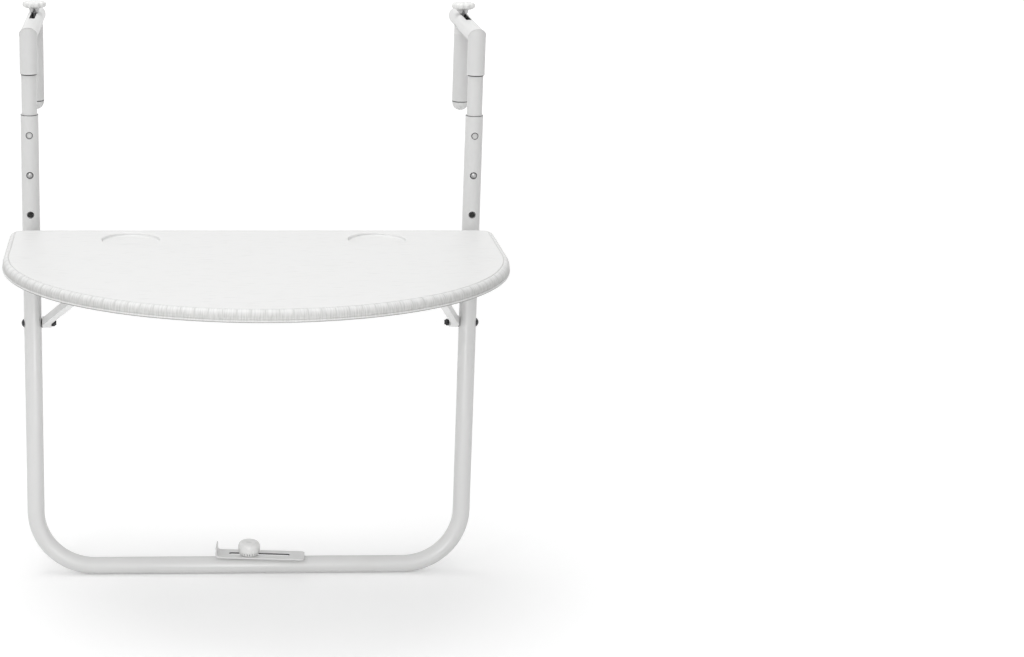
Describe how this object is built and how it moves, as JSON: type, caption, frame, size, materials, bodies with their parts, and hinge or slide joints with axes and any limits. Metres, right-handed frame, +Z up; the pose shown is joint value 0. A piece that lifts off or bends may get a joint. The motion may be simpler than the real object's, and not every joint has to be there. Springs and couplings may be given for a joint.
{
  "type": "balcony railing bar table",
  "caption": "Folding table with a rounded front that hangs from a balcony rail by two hooked arms, on a bent tube frame with braces and a sliding foot clamp.",
  "frame": {"origin": "on the middle plane, where the underside of the arms meets the rear face of the posts: the corner that sits on the rail's top inner edge", "axes": "+Z up, -Y out over the table, +Y over the railing, +X to the right seen from the table's front"},
  "size_m": [0.6, 0.6059, 0.7278],
  "materials": {
    "white_steel": "white powder-coated steel, satin",
    "moulded_top": "white moulded plastic with a woven rim",
    "white_plastic": "white moulded plastic caps and collars",
    "white_knob": "white glossy plastic knobs",
    "bolt_steel": "bright plated steel fasteners",
    "zinc_steel": "zinc-plated steel",
    "black_plastic": "dark plastic washers",
    "brass_insert": "plain brass insert"
  },
  "bodies": {
    "frame": {"frame_tube": "white_steel", "cross_tube": "white_steel", "tube_plug_left": "zinc_steel", "tube_plug_right": "zinc_steel", "tube_bolts": "bolt_steel", "brace_bolts": "bolt_steel", "brace_nuts": "bolt_steel", "brace_washers": "black_plastic", "clamp_stud": "zinc_steel", "clamp_nut": "zinc_steel"},
    "table": {"table_top": "moulded_top", "hinge_bracket_left": "white_steel", "hinge_bracket_right": "white_steel", "hinge_straps": "white_steel", "strap_bolts": "bolt_steel", "strap_nuts": "bolt_steel", "bracket_screws": "bolt_steel", "brace_catch_left": "white_steel", "brace_catch_right": "white_steel", "catch_screws": "bolt_steel"},
    "clamp_swivel": {"clamp_washer": "white_plastic"},
    "clamp_slider": {"clamp_plate": "white_steel"},
    "clamp_screw": {"clamp_knob": "white_knob", "clamp_insert": "brass_insert"},
    "arm_left": {"arm_tube_left": "white_steel", "arm_sleeve_left": "white_steel", "inner_post_left": "white_steel", "arm_cap_left": "white_plastic", "height_spring_left": "zinc_steel"},
    "button_left": {"height_button_left": "zinc_steel"},
    "hook_left": {"hook_saddle_left": "white_plastic", "hook_tube_left": "white_steel", "hook_cap_left": "white_plastic", "hook_stud_left": "zinc_steel"},
    "knob_left": {"knob_left": "white_knob", "knob_neck_left": "zinc_steel"},
    "brace_left": {"brace_left": "white_steel", "brace_pin_left": "zinc_steel"},
    "arm_right": {"arm_tube_right": "white_steel", "arm_sleeve_right": "white_steel", "inner_post_right": "white_steel", "arm_cap_right": "white_plastic", "height_spring_right": "zinc_steel"},
    "button_right": {"height_button_right": "zinc_steel"},
    "hook_right": {"hook_saddle_right": "white_plastic", "hook_tube_right": "white_steel", "hook_cap_right": "white_plastic", "hook_stud_right": "zinc_steel"},
    "knob_right": {"knob_right": "white_knob", "knob_neck_right": "zinc_steel"},
    "brace_right": {"brace_right": "white_steel", "brace_pin_right": "zinc_steel"}
  },
  "joints": [
    {"name": "table_fold", "type": "hinge", "parent": "frame", "child": "table", "pos_m": [0, -0.011, -0.2556], "axis": [1, 0, 0], "range_deg": [0, 90]},
    {"name": "clamp_turn", "type": "hinge", "parent": "frame", "child": "clamp_swivel", "pos_m": [0, -0.011, -0.6681], "axis": [0, 0, 1], "range_deg": [-165, 0]},
    {"name": "clamp_slide", "type": "slide", "parent": "clamp_swivel", "child": "clamp_slider", "axis": [0.996, -0.0889, 0], "range_m": [-0.049, 0.022]},
    {"name": "clamp_knob_turn", "type": "hinge", "parent": "frame", "child": "clamp_screw", "pos_m": [0, -0.011, -0.66], "axis": [0, 0, 1], "continuous": true},
    {"name": "height_left", "type": "slide", "parent": "frame", "child": "arm_left", "axis": [0, 0, 1], "range_m": [-0.05, 0.05], "deforming": ["height_button_left", "height_spring_left"]},
    {"name": "button_press_left", "type": "slide", "parent": "arm_left", "child": "button_left", "axis": [0, 1, 0], "range_m": [0, 0.0039], "stiffness_N_per_m": 1500, "deforming": ["height_spring_left"]},
    {"name": "hook_slide_left", "type": "slide", "parent": "arm_left", "child": "hook_left", "axis": [0, 1, 0], "range_m": [-0.0575, 0.0355]},
    {"name": "knob_turn_left", "type": "hinge", "parent": "hook_left", "child": "knob_left", "pos_m": [-0.275, 0.1225, 0.03], "axis": [0, 0, 1], "continuous": true},
    {"name": "brace_fold_left", "type": "hinge", "parent": "frame", "child": "brace_left", "pos_m": [-0.2569, -0.011, -0.353], "axis": [1, 0, 0], "range_deg": [0, 113]},
    {"name": "height_right", "type": "slide", "parent": "frame", "child": "arm_right", "axis": [0, 0, 1], "range_m": [-0.05, 0.05], "deforming": ["height_button_right", "height_spring_right"]},
    {"name": "button_press_right", "type": "slide", "parent": "arm_right", "child": "button_right", "axis": [0, 1, 0], "range_m": [0, 0.0039], "stiffness_N_per_m": 1500, "deforming": ["height_spring_right"]},
    {"name": "hook_slide_right", "type": "slide", "parent": "arm_right", "child": "hook_right", "axis": [0, 1, 0], "range_m": [-0.0575, 0.0355]},
    {"name": "knob_turn_right", "type": "hinge", "parent": "hook_right", "child": "knob_right", "pos_m": [0.275, 0.1225, 0.03], "axis": [0, 0, 1], "continuous": true},
    {"name": "brace_fold_right", "type": "hinge", "parent": "frame", "child": "brace_right", "pos_m": [0.2569, -0.011, -0.353], "axis": [1, 0, 0], "range_deg": [0, 113]}
  ],
  "couplings": [
    {"joint": "brace_fold_left", "follows": "table_fold", "ratio": 1.254},
    {"joint": "brace_fold_right", "follows": "table_fold", "ratio": 1.254}
  ]
}
